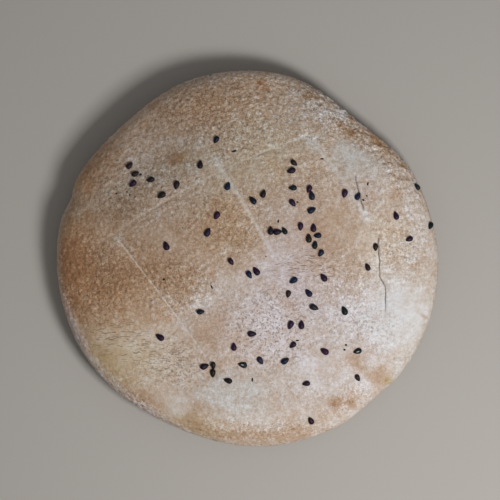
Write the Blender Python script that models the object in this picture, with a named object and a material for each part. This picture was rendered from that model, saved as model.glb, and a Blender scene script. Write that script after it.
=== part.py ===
"""A round flatbread, 130 mm across, pressed with a diamond grid and scattered with nigella seeds.

+Z is up and +Y is away from the eater. The origin is under the middle of the bread, on its flat base.
"""

import math
import random

import bmesh
import bpy
import numpy as np
from mathutils import Matrix, Vector, noise
from mathutils.bvhtree import BVHTree

MM = 0.001

# Driving sizes of the bread
ROUND_RADIUS = 64.95 * MM
CROWN_HEIGHT = 19.5 * MM
WIDEST_HEIGHT = 6.5 * MM
CROWN_FALL = 1.2 * MM

# Where the dough was patted flatter, or bulged: direction in degrees, depth, half width in degrees
PATTED_FLATS = (
    (16, 0.9 * MM, 14),
    (51, 5.15 * MM, 21),
    (92, 1.2 * MM, 18),
    (132, 3.2 * MM, 22),
    (162, 1.2 * MM, 4),
    (245, 2.2 * MM, 23),
    (312, 1.0 * MM, 9),
    (323, -0.8 * MM, 34),
)

# The shoulder is tight on the left and slopes gently on the right
TIGHT_SHOULDER = 5.4
GENTLE_SHOULDER = 3.0
GENTLE_SIDE = math.radians(-28)
BASE_CORNER = 9.0
BASE_TRIM = 0.12 * MM

# The edge that lifted off the baking stone
LIFTED_SIDE = math.radians(128)
LIFTED_SPREAD = math.radians(40)
LIFTED_HEIGHT = 2.2 * MM
LIFT_STARTS = 0.72

# Relief of the top crust
WAVE_LENGTH = 21 * MM
WAVE_HEIGHT = 0.55 * MM
LUMP_LENGTH = 8.5 * MM
LUMP_HEIGHT = 0.16 * MM
LUMP_DRAW = Vector((0, 0, 4))
DIP_HALF_WIDTH = 4.2 * MM
SIDE_BLEND = 0.55

# Pressed lines: three points of the plan that each is bowed through, in millimetres from the middle,
# depth of its cut, and depth of the dip around it
PRESSED_LINES = (
    (((-45.5, 7.9), (-23.6, -20.8), (-11.6, -37.9)), 0.38 * MM, 0.45 * MM),
    (((-11.6, 34.1), (8.4, 1.7), (25.6, -30.0)), 0.36 * MM, 0.45 * MM),
    (((21.1, 40.7), (40.9, 13.0), (46.7, -19.4)), 0.28 * MM, 0.35 * MM),
    (((-51.1, 3.8), (-14.3, 26.2), (21.1, 41.2)), 0.24 * MM, 0.2 * MM),
    (((-30.7, -26.2), (5.1, -4.6), (50.1, 19.4)), 0.26 * MM, 0.28 * MM),
    (((-10.9, -38.5), (24.5, -27.6), (52.8, -8.9)), 0.2 * MM, 0.18 * MM),
)
LINE_CUT_RADIUS = 0.62 * MM
LINE_STEP = 2.6 * MM

# The fine crack that follows the right-hand pressed line
CRACK = ((36.7, 27.1), (39.8, 15.2), (44.5, 6.6), (44.9, -5.5), (46.8, -9.9), (46.7, -19.4))
CRACK_RADIUS = 0.3 * MM
CRACK_DEPTH = 0.5 * MM

# Nigella seeds: a drop with a blunt end, a pointed end and a ridge along its back
SEED_LENGTH = 2.9 * MM
SEED_WIDTH = 1.85 * MM
SEED_HEIGHT = 1.5 * MM
SEED_TAPER = 0.34
SEED_RIDGE = 0.12
SEED_SUNK = 0.28
SEED_SIZE_SPREAD = 0.1
SEED_SCATTER = 0.2 * MM
SEED_TURN = math.radians(3)
SEED_DRAW = 7

# Rows in which the seeds fell: first and last place in millimetres from the middle, how many seeds,
# and the directions in degrees in which the first and the last one point
SEED_ROWS = (
    ((-10.5, 40.0), (-16.0, 31.5), 2, 240, 85),
    ((16.0, 32.0), (21.0, 23.0), 2, 325, 250),
    ((-40.0, 31.0), (-33.0, 26.5), 2, 45, 195),
    ((15.0, 29.5), (15.5, 23.5), 2, 200, 180),
    ((-38.0, 28.5), (-39.0, 25.0), 2, 25, 225),
    ((-24.0, 24.5), (-29.0, 21.0), 2, 255, 212),
    ((57.5, 24.0), (50.5, 14.0), 2, 130, 110),
    ((-6.5, 24.0), (-10.5, 14.2), 2, 65, 240),
    ((-13.5, 8.5), (-13.5, 8.5), 1, 60, 60),
    ((33.0, 21.5), (37.5, 20.5), 2, 255, 55),
    ((5.5, 21.5), (2.0, 19.5), 2, 75, 135),
    ((22.0, 21.0), (22.0, 16.0), 2, 100, 28),
    ((62.0, 10.5), (55.0, 6.0), 2, 240, 200),
    ((15.5, 18.5), (18.0, 10.5), 2, 310, 268),
    ((8.0, 9.0), (12.6, 8.9), 2, 86, 118),
    ((10.1, 8.5), (22.5, 10.0), 2, 4, 90),
    ((24.0, 7.5), (25.0, 1.5), 2, 190, 240),
    ((21.0, 6.5), (22.9, 4.3), 2, 95, 80),
    ((-27.5, 4.0), (-5.5, -1.5), 2, 105, 305),
    ((43.5, 3.5), (41.0, -3.5), 2, 265, 112),
    ((3.0, -4.5), (0.5, -6.0), 2, 125, 300),
    ((26.0, -7.0), (33.0, -18.0), 2, 126, 110),
    ((15.5, -8.0), (14.0, -12.5), 2, 212, 258),
    ((21.0, -12.0), (22.5, -17.0), 2, 130, 335),
    ((-16.0, -18.5), (-29.5, -27.0), 2, 6, 145),
    ((14.5, -23.0), (18.5, -23.0), 2, 248, 85),
    ((1.5, -26.0), (-4.5, -30.5), 2, 0, 88),
    ((15.5, -30.0), (13.0, -35.0), 2, 222, 30),
    ((37.5, -32.0), (37.5, -41.0), 2, 192, 300),
    ((26.0, -32.0), (20.0, -43.0), 2, 148, 190),
    ((4.5, -35.0), (-1.5, -36.5), 2, 305, 170),
    ((-14.5, -37.0), (-6.5, -42.0), 2, 18, 165),
    ((-11.5, -36.5), (-11.5, -39.5), 2, 272, 270),
    ((21.5, -55.5), (21.5, -55.5), 1, 118, 118),
)

# Colours, as shares of reflected light
CRUST_COLOUR = (0.48, 0.38, 0.295)
CRUST_ROUGHNESS = 0.85
SEED_COLOUR = (0.018, 0.016, 0.022)
SEED_ROUGHNESS = 0.55

# Fineness of the solids
BALL_SUBDIVISIONS = 5
TOP_SHARE = 2.2
PROFILE_STEPS = 400
OUTLINE_STEPS = 720
SEED_SIDES = 6
SEED_RINGS = 4
WELD = 0.01 * MM


def outline_radius(angle):
    """Distance from the middle to the rim in that direction."""
    radius = ROUND_RADIUS
    for place, depth, half_width in PATTED_FLATS:
        away = (angle - math.radians(place) + math.pi) % math.tau - math.pi
        radius -= depth * math.exp(-((away / math.radians(half_width)) ** 2))
    return radius


def outline_middle():
    """Middle of the outline's bounding box, which becomes the origin."""
    angles = [math.tau * i / OUTLINE_STEPS for i in range(OUTLINE_STEPS)]
    along = [outline_radius(a) * math.cos(a) for a in angles]
    across = [outline_radius(a) * math.sin(a) for a in angles]
    return Vector(((min(along) + max(along)) / 2, (min(across) + max(across)) / 2, 0))


def smoothstep(low, high, value):
    share = min(1.0, max(0.0, (value - low) / (high - low)))
    return share * share * (3 - 2 * share)


def bowed(line, share):
    """Point of a pressed line, as a parabola through its three points."""
    first, middle, last = (Vector(p) * MM for p in line)
    return (
        first * (1 - share) * (1 - 2 * share)
        + middle * 4 * share * (1 - share)
        + last * share * (2 * share - 1)
    )


def line_points(line):
    first, last = Vector(line[0]) * MM, Vector(line[-1]) * MM
    count = math.ceil((last - first).length / LINE_STEP)
    return [bowed(line, i / count) for i in range(count + 1)]


def distance_to_route(place, route):
    """Shortest distance in plan from a place to a route of points."""
    shortest = math.inf
    for start, end in zip(route, route[1:]):
        run = end - start
        share = min(1.0, max(0.0, (place - start).dot(run) / run.length_squared))
        shortest = min(shortest, (place - start - run * share).length)
    return shortest


def crust_relief(place, dips):
    """Height of the top crust over its smooth form: waves, lumps and dips along the pressed lines."""
    flat = Vector((place.x, place.y, 0))
    height = WAVE_HEIGHT * noise.noise(flat / WAVE_LENGTH)
    height += LUMP_HEIGHT * noise.noise(flat / LUMP_LENGTH + LUMP_DRAW)
    for route, depth in dips:
        away = distance_to_route(place, route)
        height -= depth * math.exp(-((away / DIP_HALF_WIDTH) ** 2))
    return height


def section(turn, angle):
    """Point of the section in one direction, from the crown (turn 0) over the rim to the base (turn pi)."""
    gentle = (1 + math.cos(angle - GENTLE_SIDE)) / 2
    shoulder = TIGHT_SHOULDER + (GENTLE_SHOULDER - TIGHT_SHOULDER) * gentle
    above = turn <= math.pi / 2
    corner = shoulder if above else BASE_CORNER
    out = max(0.0, math.sin(turn)) ** (2 / corner)
    if above:
        rise = CROWN_HEIGHT - WIDEST_HEIGHT - CROWN_FALL * out**2
        height = WIDEST_HEIGHT + rise * math.cos(turn)
    else:
        height = max(0.0, WIDEST_HEIGHT * (1 + math.cos(turn)) - BASE_TRIM)
    away = (angle - LIFTED_SIDE + math.pi) % math.tau - math.pi
    lift = LIFTED_HEIGHT * math.exp(-((away / LIFTED_SPREAD) ** 2))
    return out, height + lift * smoothstep(LIFT_STARTS, 1.0, out)


def even_turns():
    """Turn of the section against the share of the surface above it, for even faces, finer on top."""
    turns = np.linspace(0, math.pi, PROFILE_STEPS)
    points = [section(turn, math.pi / 2) for turn in turns]
    out = np.array([p[0] for p in points]) * ROUND_RADIUS
    height = np.array([p[1] for p in points])
    steps = np.hypot(np.diff(out), np.diff(height)) * (out[1:] + out[:-1]) / 2
    steps[turns[1:] <= math.pi / 2] *= TOP_SHARE
    share = np.concatenate([[0], np.cumsum(steps)])
    return share / share[-1], turns


def material(name, colour, roughness):
    made = bpy.data.materials.new(name)
    made.use_nodes = True
    shader = made.node_tree.nodes["Principled BSDF"]
    shader.inputs["Base Color"].default_value = (*colour, 1)
    shader.inputs["Roughness"].default_value = roughness
    shader.inputs["Metallic"].default_value = 0.0
    return made


def mesh_object(name, bm, collection, finish):
    mesh = bpy.data.meshes.new(name)
    bm.to_mesh(mesh)
    bm.free()
    mesh.materials.append(finish)
    mesh.shade_smooth()
    made = bpy.data.objects.new(name, mesh)
    collection.objects.link(made)
    return made


def loaf(collection, finish):
    """The bread's body: a ball whose rings are moved out onto the bread's section."""
    shares, turns = even_turns()
    dips = [(line_points(line), dip) for line, _, dip in PRESSED_LINES]
    bm = bmesh.new()
    bmesh.ops.create_icosphere(bm, subdivisions=BALL_SUBDIVISIONS, radius=1)
    for vert in bm.verts:
        direction = vert.co.normalized()
        turn = float(np.interp((1 - direction.z) / 2, shares, turns))
        angle = math.atan2(direction.y, direction.x)
        out, height = section(turn, angle)
        radius = out * outline_radius(angle)
        place = Vector((radius * math.cos(angle), radius * math.sin(angle)))
        on_top = smoothstep(0.0, SIDE_BLEND, math.cos(turn))
        if on_top > 0:
            height += on_top * crust_relief(place, dips)
        vert.co = (place.x, place.y, height)
    return mesh_object("flatbread", bm, collection, finish)


def surface_of(body):
    """A lookup that drops a place of the plan onto the crust, and gives the point and its normal."""
    tree = BVHTree.FromPolygons(
        [v.co.copy() for v in body.data.vertices],
        [tuple(p.vertices) for p in body.data.polygons],
    )

    def drop(place):
        start = Vector((place[0], place[1], 2 * CROWN_HEIGHT))
        point, normal, _, _ = tree.ray_cast(start, Vector((0, 0, -1)))
        return point, normal

    return drop


def cutter(name, plan, radius, depth, drop, collection, finish):
    """A tube laid along a route of the crust, sunk so that it cuts that deep."""
    curve = bpy.data.curves.new(name, "CURVE")
    curve.dimensions = "3D"
    curve.bevel_depth = radius
    curve.bevel_resolution = 1
    curve.use_fill_caps = True
    spline = curve.splines.new("POLY")
    spline.points.add(len(plan) - 1)
    for point, place in zip(spline.points, plan):
        on_crust, normal = drop(place)
        point.co = (*(on_crust + normal * (radius - depth)), 1)
    tube = bpy.data.objects.new(name, curve)
    collection.objects.link(tube)
    graph = bpy.context.evaluated_depsgraph_get()
    mesh = bpy.data.meshes.new_from_object(tube.evaluated_get(graph))
    bm = bmesh.new()
    bm.from_mesh(mesh)
    bmesh.ops.remove_doubles(bm, verts=bm.verts, dist=WELD)
    bm.to_mesh(mesh)
    bm.free()
    mesh.materials.clear()
    mesh.materials.append(finish)
    solid = bpy.data.objects.new(name + "_solid", mesh)
    solid.matrix_world = tube.matrix_world
    collection.objects.link(solid)
    bpy.data.objects.remove(tube)
    solid.hide_render = True
    solid.display_type = "WIRE"
    return solid


def seed_places():
    """Place, heading and size of each seed, row by row, with a little seeded scatter."""
    draw = random.Random(SEED_DRAW)
    places = []
    for first, last, count, first_points, last_points in SEED_ROWS:
        for i in range(count):
            share = i / max(1, count - 1)
            place = Vector(first).lerp(Vector(last), share) * MM
            place += Vector((draw.uniform(-1, 1), draw.uniform(-1, 1))) * SEED_SCATTER
            heading = math.radians(first_points + (last_points - first_points) * share)
            heading += SEED_TURN * draw.uniform(-1, 1)
            size = 1 + SEED_SIZE_SPREAD * draw.uniform(-1, 1)
            places.append((place, heading, size))
    return places


def seed(name, place, heading, size, drop, collection, finish):
    """One seed, with its ridge up, lying on the crust and sunk into it a little."""
    bm = bmesh.new()
    ridge_up = Matrix.Rotation(math.pi / SEED_SIDES, 4, "Z")
    bmesh.ops.create_uvsphere(bm, u_segments=SEED_SIDES, v_segments=SEED_RINGS, radius=1, matrix=ridge_up)
    for vert in bm.verts:
        along = vert.co.z
        slim = 1 - SEED_TAPER * along
        across, up = vert.co.x * slim, vert.co.y * slim
        if up > abs(across):
            up *= 1 + SEED_RIDGE
        vert.co = (
            along * SEED_LENGTH / 2,
            across * SEED_WIDTH / 2,
            up * SEED_HEIGHT / 2,
        )
    bmesh.ops.recalc_face_normals(bm, faces=bm.faces)
    on_crust, normal = drop(place)
    upright = Vector((0, 0, 1)).rotation_difference(normal).to_matrix().to_4x4()
    lift = Matrix.Translation((0, 0, SEED_HEIGHT * (0.5 - SEED_SUNK)))
    turned = Matrix.Translation(on_crust) @ upright @ Matrix.Rotation(heading, 4, "Z") @ lift
    bmesh.ops.transform(bm, matrix=turned @ Matrix.Scale(size, 4), verts=bm.verts)
    return mesh_object(name, bm, collection, finish)


def boolean(body, operation, collection):
    modifier = body.modifiers.new(operation.title(), "BOOLEAN")
    modifier.operation = operation
    modifier.operand_type = "COLLECTION"
    modifier.collection = collection
    modifier.solver = "EXACT"


def apply_modifiers(body, *spent):
    """Keeps the cut and joined shape, and removes the pieces that made it."""
    graph = bpy.context.evaluated_depsgraph_get()
    made = bpy.data.meshes.new_from_object(body.evaluated_get(graph))
    body.modifiers.clear()
    body.data = made
    for collection in spent:
        for helper in list(collection.objects):
            bpy.data.objects.remove(helper)
        bpy.data.collections.remove(collection)


def main():
    for old in list(bpy.data.objects):
        bpy.data.objects.remove(old)
    scene = bpy.context.scene
    bread_parts = bpy.data.collections.new("flatbread")
    cutters = bpy.data.collections.new("pressed lines")
    seeds = bpy.data.collections.new("seeds")
    for collection in (bread_parts, cutters, seeds):
        scene.collection.children.link(collection)

    crust = material("baked crust", CRUST_COLOUR, CRUST_ROUGHNESS)
    nigella = material("nigella seed", SEED_COLOUR, SEED_ROUGHNESS)

    body = loaf(bread_parts, crust)
    drop = surface_of(body)
    for number, (line, depth, _) in enumerate(PRESSED_LINES, 1):
        plan = line_points(line)
        cutter(f"line_{number}", plan, LINE_CUT_RADIUS, depth, drop, cutters, crust)
    crack = [Vector(p) * MM for p in CRACK]
    cutter("crack", crack, CRACK_RADIUS, CRACK_DEPTH, drop, cutters, crust)
    for number, (place, heading, size) in enumerate(seed_places(), 1):
        seed(f"seed_{number}", place, heading, size, drop, seeds, nigella)

    boolean(body, "DIFFERENCE", cutters)
    boolean(body, "UNION", seeds)
    apply_modifiers(body, cutters, seeds)
    body.data.transform(Matrix.Translation(-outline_middle()))


main()
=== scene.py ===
"""The looks of a round flatbread pressed with a diamond grid and scattered with nigella seeds."""

import math
import random

import bmesh
import bpy
import numpy as np
from mathutils import Matrix, Vector, noise
from mathutils.bvhtree import BVHTree


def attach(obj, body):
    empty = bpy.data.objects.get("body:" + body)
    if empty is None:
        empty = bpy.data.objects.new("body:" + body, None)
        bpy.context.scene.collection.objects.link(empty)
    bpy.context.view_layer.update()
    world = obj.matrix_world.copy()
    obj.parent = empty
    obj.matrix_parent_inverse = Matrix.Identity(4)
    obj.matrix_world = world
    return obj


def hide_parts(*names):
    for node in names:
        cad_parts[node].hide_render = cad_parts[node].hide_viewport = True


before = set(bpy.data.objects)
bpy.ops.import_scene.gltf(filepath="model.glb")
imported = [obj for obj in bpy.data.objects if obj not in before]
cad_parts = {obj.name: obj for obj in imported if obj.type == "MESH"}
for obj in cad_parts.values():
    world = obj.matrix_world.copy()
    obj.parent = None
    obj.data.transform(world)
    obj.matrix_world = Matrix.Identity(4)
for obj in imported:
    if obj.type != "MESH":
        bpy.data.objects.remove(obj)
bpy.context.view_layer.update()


# The baked loaf: one round of leavened wheat dough, patted out by hand, proved, and baked on a hot stone.
# Its crust is dry, matt and a little lumpy, and it is flat underneath. It is a ball of even faces whose
# rings are drawn out onto the bread's own section.
MM = 0.001
ROUND_RADIUS = 64.95 * MM
CROWN_HEIGHT = 19.5 * MM
WIDEST_HEIGHT = 6.5 * MM
CROWN_FALL = 1.2 * MM

# Where the dough was patted flatter, or bulged: direction in degrees, depth, half width in degrees
PATTED_FLATS = (
    (16, 0.9 * MM, 14),
    (51, 5.15 * MM, 21),
    (92, 1.2 * MM, 18),
    (132, 3.2 * MM, 22),
    (162, 1.2 * MM, 4),
    (245, 2.2 * MM, 23),
    (312, 1.0 * MM, 9),
    (323, -0.8 * MM, 34),
)

# The shoulder is tight on the left and slopes gently on the right
TIGHT_SHOULDER = 5.4
GENTLE_SHOULDER = 3.0
GENTLE_SIDE = math.radians(-28)
BASE_CORNER = 9.0
BASE_TRIM = 0.12 * MM

# The edge that lifted off the baking stone
LIFTED_SIDE = math.radians(128)
LIFTED_SPREAD = math.radians(40)
LIFTED_HEIGHT = 2.2 * MM
LIFT_STARTS = 0.72

WAVE_LENGTH = 21 * MM
WAVE_HEIGHT = 0.55 * MM
LUMP_LENGTH = 8.5 * MM
LUMP_HEIGHT = 0.16 * MM
LUMP_DRAW = 4
DIP_HALF_WIDTH = 4.2 * MM
SIDE_BLEND = 0.55

# Fine faces: a ball, each of its edges cut in three, with most of them on the top crust
BALL_SUBDIVISIONS = 6
EDGE_CUTS = 2
TOP_SHARE = 5.0
PROFILE_STEPS = 2000
OUTLINE_STEPS = 720


def away_from(angle, direction):
    """How far a direction lies from another, in radians either way."""
    return (angle - direction + math.pi) % math.tau - math.pi


def outline_radius(angle):
    """Distance from the middle to the rim in each direction."""
    radius = np.full_like(angle, ROUND_RADIUS)
    for place, depth, half_width in PATTED_FLATS:
        away = away_from(angle, math.radians(place))
        radius -= depth * np.exp(-((away / math.radians(half_width)) ** 2))
    return radius


def outline_middle():
    """Middle of the outline's box, which is the origin."""
    angle = np.arange(OUTLINE_STEPS) * math.tau / OUTLINE_STEPS
    radius = outline_radius(angle)
    along, across = radius * np.cos(angle), radius * np.sin(angle)
    return Vector(((along.min() + along.max()) / 2, (across.min() + across.max()) / 2, 0))


def smoothstep(low, high, value):
    share = np.clip((value - low) / (high - low), 0, 1)
    return share * share * (3 - 2 * share)


def section(turn, angle):
    """How far out and how high the skin is, from the crown (turn 0) over the rim to the base (turn pi)."""
    gentle = (1 + np.cos(angle - GENTLE_SIDE)) / 2
    shoulder = TIGHT_SHOULDER + (GENTLE_SHOULDER - TIGHT_SHOULDER) * gentle
    above = turn <= math.pi / 2
    out = np.maximum(0.0, np.sin(turn)) ** (2 / np.where(above, shoulder, BASE_CORNER))
    rise = CROWN_HEIGHT - WIDEST_HEIGHT - CROWN_FALL * out**2
    over = WIDEST_HEIGHT + rise * np.cos(turn)
    under = np.maximum(0.0, WIDEST_HEIGHT * (1 + np.cos(turn)) - BASE_TRIM)
    lift = LIFTED_HEIGHT * np.exp(-((away_from(angle, LIFTED_SIDE) / LIFTED_SPREAD) ** 2))
    return out, np.where(above, over, under) + lift * smoothstep(LIFT_STARTS, 1.0, out)


def even_turns():
    """Turn of the section against the share of the surface above it."""
    turns = np.linspace(0, math.pi, PROFILE_STEPS)
    out, height = section(turns, np.full_like(turns, math.pi / 2))
    out = out * ROUND_RADIUS
    steps = np.hypot(np.diff(out), np.diff(height)) * (out[1:] + out[:-1]) / 2
    steps[turns[1:] <= math.pi / 2] *= TOP_SHARE
    share = np.concatenate([[0], np.cumsum(steps)])
    return share / share[-1], turns


SHARES, TURNS = even_turns()


def skin(ball):
    """Turn, direction, reach, plan and height of the smooth loaf for points on a unit ball."""
    turn = np.interp((1 - ball[:, 2]) / 2, SHARES, TURNS)
    angle = np.arctan2(ball[:, 1], ball[:, 0])
    out, height = section(turn, angle)
    radius = out * outline_radius(angle)
    plan = np.stack([radius * np.cos(angle), radius * np.sin(angle)], axis=1)
    return turn, angle, out, plan, height


def waver(points, length, draw=0.0):
    """Smooth unevenness between -1 and 1 over that length, at each point."""
    shift = Vector((0, 0, draw))
    return np.array([noise.noise(Vector(p) / length + shift) for p in points])


# The diamond grid: six lines pressed into the raw dough with the back of a knife. Each is bowed through
# three points of the plan, in millimetres from the middle. Then come the depth of its cut, the depth of the
# dip around it, the half width of its pale mark and how far to its left that lies, all in millimetres, and
# how strongly the mark shows at its start, middle and end.
PRESSED_LINES = (
    (((-45.5, 7.9), (-23.6, -20.8), (-11.6, -37.9)), (0.34, 0.45, 0.43, 0.1), (0.8, 0.95, 0.7)),
    (((-11.6, 34.1), (8.4, 1.7), (25.6, -30.0)), (0.2, 0.4, 0.95, 0.1), (1.0, 1.0, 0.3)),
    (((21.1, 40.7), (40.9, 13.0), (46.7, -19.4)), (0.16, 0.3, 0.9, -0.8), (1.0, 0.5, 0.1)),
    (((-51.1, 3.8), (-14.3, 26.2), (21.1, 41.2)), (0.14, 0.2, 0.45, 0.4), (0.2, 0.6, 0.6)),
    (((-30.7, -26.2), (5.1, -4.6), (50.1, 19.4)), (0.1, 0.14, 0.6, -0.8), (0.5, 0.9, 0.05)),
    (((-10.9, -38.5), (24.5, -27.6), (52.8, -8.9)), (0.12, 0.16, 0.6, 0.4), (0.2, 0.1, 0.6)),
)
LINE_CUT_HALF_WIDTH = 0.62 * MM
LINE_STEP = 2.6 * MM
LINE_DUST_HALF_WIDTH = 2.4 * MM
LINE_FADE = 0.04

# The crust split finely beside the right-hand line as the bread rose, in two stretches
CRACK = (
    (36.6, 28.0),
    (37.6, 22.8),
    (39.6, 15.8),
    (44.5, 6.7),
    (44.8, -1.7),
    (44.9, -6.4),
    (46.7, -9.6),
    (46.9, -13.0),
    (46.7, -19.2),
)
CRACK_HALF_WIDTH = 0.2 * MM
CRACK_DEPTH = 0.32 * MM
CRACK_FINE_BAND = 0.8 * MM
CRACK_WANDER = 0.35 * MM
CRACK_WANDER_LENGTH = 3 * MM
CRACK_DRAW = 90
CRACK_ENDS = ((0, 0.02), (1, 0.96))
# Between the two stretches it stays shut, and is this much shallower
CRACK_SHUT = (16.0 * MM, 6.8 * MM)
CRACK_SHUT_FADE = 1 * MM
CRACK_SHUT_SHARE = 0.7


def bowed(line, share):
    """Point of a pressed line, as a parabola through its three points."""
    first, middle, last = (Vector(p) * MM for p in line)
    return (
        first * (1 - share) * (1 - 2 * share)
        + middle * 4 * share * (1 - share)
        + last * share * (2 * share - 1)
    )


def line_points(line):
    first, last = Vector(line[0]) * MM, Vector(line[-1]) * MM
    count = math.ceil((last - first).length / LINE_STEP)
    return [bowed(line, i / count) for i in range(count + 1)]


def along_route(plan, route):
    """How far in plan each place is from a route of points, with its side as sign, and how far along it."""
    shortest = np.full(len(plan), np.inf)
    hand, passed = np.ones(len(plan)), np.zeros(len(plan))
    for i, (start, end) in enumerate(zip(route, route[1:])):
        start, end = np.array(start[:2]), np.array(end[:2])
        run, reach = end - start, plan - start
        share = np.clip((reach @ run) / (run @ run), 0, 1)
        away = np.linalg.norm(reach - share[:, None] * run, axis=1)
        nearer = away < shortest
        shortest = np.where(nearer, away, shortest)
        hand = np.where(nearer, np.sign(run[0] * reach[:, 1] - run[1] * reach[:, 0]), hand)
        passed = np.where(nearer, (i + share) / (len(route) - 1), passed)
    return shortest * hand, passed


CRACK_ROUTE = [Vector(p) * MM for p in CRACK]

loaf = bmesh.new()
bmesh.ops.create_icosphere(loaf, subdivisions=BALL_SUBDIVISIONS, radius=1)
bmesh.ops.subdivide_edges(loaf, edges=loaf.edges, cuts=EDGE_CUTS, use_grid_fill=True)
for vert in loaf.verts:
    vert.co.normalize()
ball = np.array([v.co for v in loaf.verts])
_, _, _, plan, _ = skin(ball)
near_crack = (np.abs(along_route(plan, CRACK_ROUTE)[0]) < CRACK_FINE_BAND) & (ball[:, 2] > 0)
loaf.verts.ensure_lookup_table()
fine = [e for e in loaf.edges if near_crack[e.verts[0].index] and near_crack[e.verts[1].index]]
bmesh.ops.subdivide_edges(loaf, edges=fine, cuts=1, use_grid_fill=True)
bmesh.ops.triangulate(loaf, faces=[f for f in loaf.faces if len(f.verts) > 3])
for vert in loaf.verts:
    vert.co.normalize()
ball = np.array([v.co for v in loaf.verts])
turn, angle, out, plan, height = skin(ball)

on_top = smoothstep(0.0, SIDE_BLEND, np.cos(turn))
flat = np.column_stack([plan, np.zeros(len(plan))])
relief = WAVE_HEIGHT * waver(flat, WAVE_LENGTH)
relief += LUMP_HEIGHT * waver(flat, LUMP_LENGTH, LUMP_DRAW)
dusted = np.zeros(len(plan))
line_sides, line_marks = [], []
for line, sizes, marks in PRESSED_LINES:
    cut, dip, _, beside = (size * MM for size in sizes)
    away, passed = along_route(plan, line_points(line))
    relief -= cut * np.exp(-((away / LINE_CUT_HALF_WIDTH) ** 2))
    relief -= dip * np.exp(-((away / DIP_HALF_WIDTH) ** 2))
    strength = np.interp(passed, (0, LINE_FADE, 0.5, 1 - LINE_FADE, 1), (0, *marks, 0))
    line_sides.append(away - beside)
    line_marks.append(strength)
    dusted = np.maximum(dusted, strength * np.exp(-((away / LINE_DUST_HALF_WIDTH) ** 2)))
crack_side, passed = along_route(plan, CRACK_ROUTE)
crack_side += CRACK_WANDER * waver(flat, CRACK_WANDER_LENGTH, CRACK_DRAW)
shut = smoothstep(-CRACK_SHUT_FADE, CRACK_SHUT_FADE, CRACK_SHUT[0] - plan[:, 1])
shut *= smoothstep(-CRACK_SHUT_FADE, CRACK_SHUT_FADE, plan[:, 1] - CRACK_SHUT[1])
split = (1 - shut) * smoothstep(*CRACK_ENDS[0], passed) * smoothstep(*CRACK_ENDS[1], passed)
crack_depth = CRACK_DEPTH * (1 - CRACK_SHUT_SHARE * shut)
relief -= crack_depth * np.exp(-((crack_side / CRACK_HALF_WIDTH) ** 2))
height = height + on_top * relief


# How the oven left the crust: browned most on the left and at the top, still floury on the right and low
# down, where the widest pale patch is partly painted light. Each patch has its place from the middle and its
# half length and half width in millimetres, the way it lies in degrees, and how much it is browned (or, below
# nought, floured).
BAKED_PATCHES = (
    ((-52, -7), 17, 14, 15, 0.42),
    ((-59, 4), 13, 6, 80, 0.25),
    ((-58, -20), 9, 5, -65, 0.22),
    ((-28, -5), 11, 7, 0, 0.32),
    ((-40, -11), 14, 6, 5, 0.11),
    ((-32, -19), 5, 3, 0, 0.14),
    ((-45, 16), 13, 8, 20, 0.28),
    ((-51, 29), 10, 6, 50, 0.3),
    ((-32, 26), 15, 8, 20, 0.08),
    ((-12, 51), 20, 7, 12, 0.24),
    ((-22, 41), 17, 8, 15, 0.1),
    ((-11, 11), 12, 10, 0, 0.2),
    ((-30, 8), 15, 6, 20, 0.12),
    ((-11, -26), 10, 8, 20, 0.19),
    ((0, -61), 24, 3, 0, 0.1),
    ((-34, -50), 9, 3, -35, 0.26),
    ((-18, -57.5), 6, 3, -15, 0.26),
    ((-15, -52), 5, 3.5, 0, 0.14),
    ((-49, -37), 9, 3, -55, 0.14),
    ((28.5, -49), 2.8, 2, -10, 0.56),
    ((34.5, -50.5), 2.4, 1.8, -40, 0.42),
    ((36, -35.5), 4, 2.6, -10, 0.3),
    ((44.5, -40), 4.5, 3, 10, 0.24),
    ((36, 41), 3, 2.4, -30, 0.26),
    ((49, 20), 1.6, 1.4, 0, 0.22),
    ((31, 11), 11, 7, 20, 0.19),
    ((21, 17), 6, 7, 0, 0.15),
    ((24, 5), 5.5, 6, 0, 0.19),
    ((32, -1), 8, 8, 10, 0.15),
    ((20, -2), 8, 4, 5, 0.1),
    ((9, -46), 12, 5, -15, 0.08),
    ((0, -36), 12, 4, 0, 0.06),
    ((16, -19), 4, 5, 0, 0.1),
    # Flour and painted light: this wide pale patch on the right also stands for the stronger light nearer the
    # lamp
    ((40, -14), 32, 34, 0, -0.19),
    ((50, -20), 13, 11, 0, -0.2),
    ((45, -31), 8, 5, 30, -0.1),
    ((36, -20), 8, 6, 0, -0.1),
    ((50, 4), 9, 12, 0, -0.09),
    ((6, -25), 16, 12, 10, -0.23),
    ((-5, -46), 13, 8, 5, -0.2),
    ((-23, -50), 3.4, 5, -20, -0.2),
    ((22, -45), 14, 9, 0, -0.18),
    ((17, -36), 5, 4, 0, -0.14),
    ((38.5, -43.5), 4, 3, 10, -0.2),
    ((31, -56), 10, 2.6, 22, -0.1),
    ((3, -53), 14, 4, -5, -0.1),
    ((41, 33), 10, 7, -30, -0.22),
    ((56, 21), 5, 9, 20, -0.12),
    ((29, 50), 10, 5, -30, -0.26),
    ((22, 40), 4, 2, -20, -0.14),
    ((2, 62), 20, 3, 0, -0.22),
    ((-17, 56), 7, 2.5, 15, 0.12),
    ((0, -57), 12, 3, 0, -0.16),
    ((56, 15), 3, 6, 15, -0.14),
    ((53, -40), 13, 3, 53, -0.14),
    ((3, 45), 7, 5, 0, -0.12),
    ((-39, 45), 17, 4, 43, -0.11),
    ((7, -4), 7, 4, 10, -0.16),
    ((1, -13), 5, 4, 0, -0.12),
    ((-14, -12.5), 8, 3.2, 30, -0.15),
    ((-17, -21), 9, 5, 28, -0.14),
    ((-35, -27), 11, 5, 0, -0.16),
    ((-27, -36), 11, 8, 10, -0.19),
)
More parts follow.
